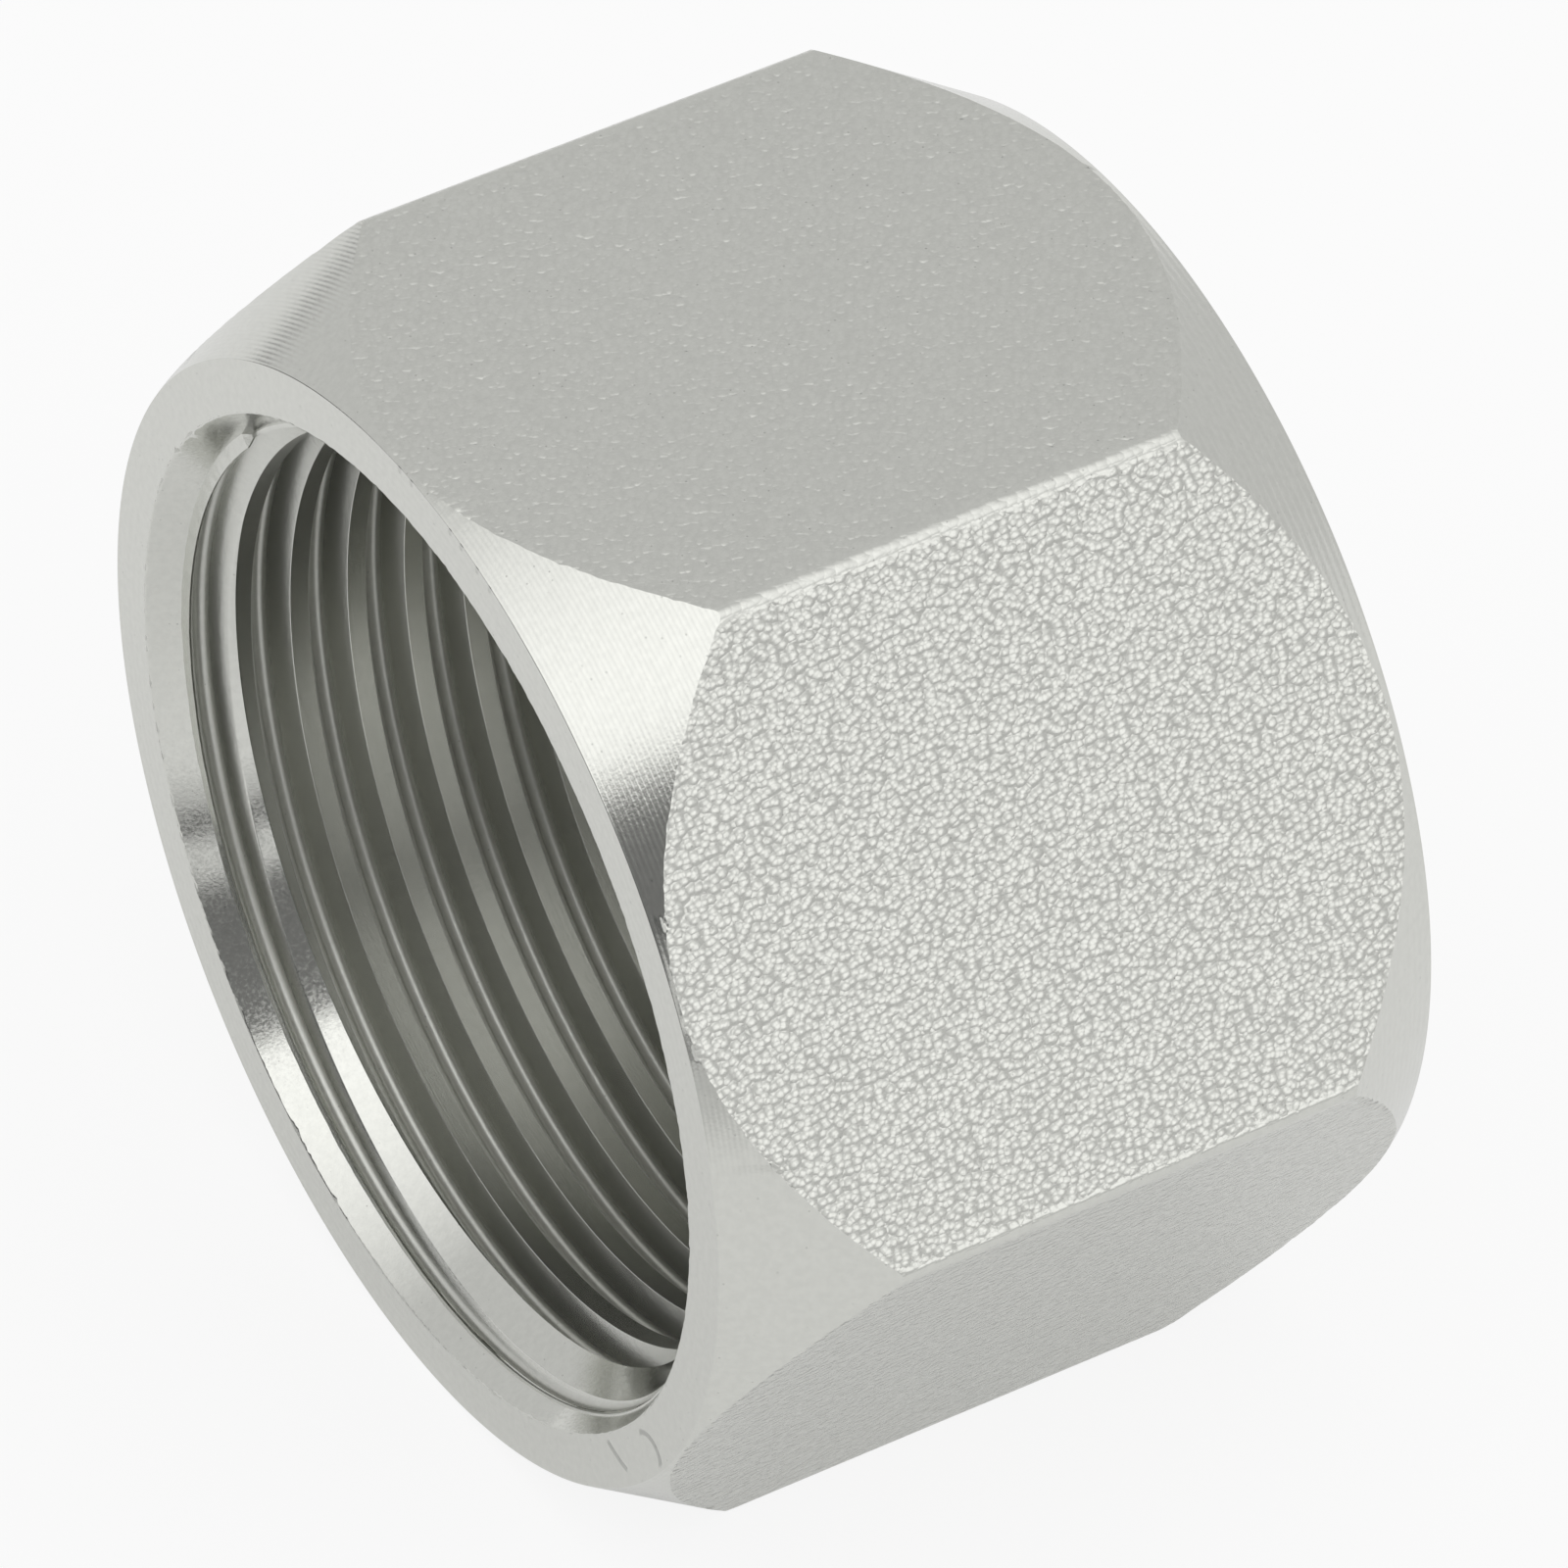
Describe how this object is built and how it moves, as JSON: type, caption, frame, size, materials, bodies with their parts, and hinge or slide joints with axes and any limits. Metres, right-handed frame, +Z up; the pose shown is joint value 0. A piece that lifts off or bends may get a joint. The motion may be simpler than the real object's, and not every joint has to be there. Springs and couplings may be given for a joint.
{
  "type": "threaded protection cap",
  "caption": "Hexagonal steel cap, open at one end with a right-hand internal thread and closed at the other, to screw over a male thread and keep it clean.",
  "frame": {"origin": "on the lower flat of the hexagon, under the middle of the cap, where it lies on a table", "axes": "+X along the cap's axis from the mouth to the closed end, +Z up out of the upper flat, +Y level across the corners"},
  "size_m": [0.026, 0.0438, 0.038],
  "materials": {
    "zinc_plated_steel": "clear zinc plate over turned and blasted steel"
  },
  "bodies": {
    "root": {"protection_cap": "zinc_plated_steel"}
  },
  "joints": []
}
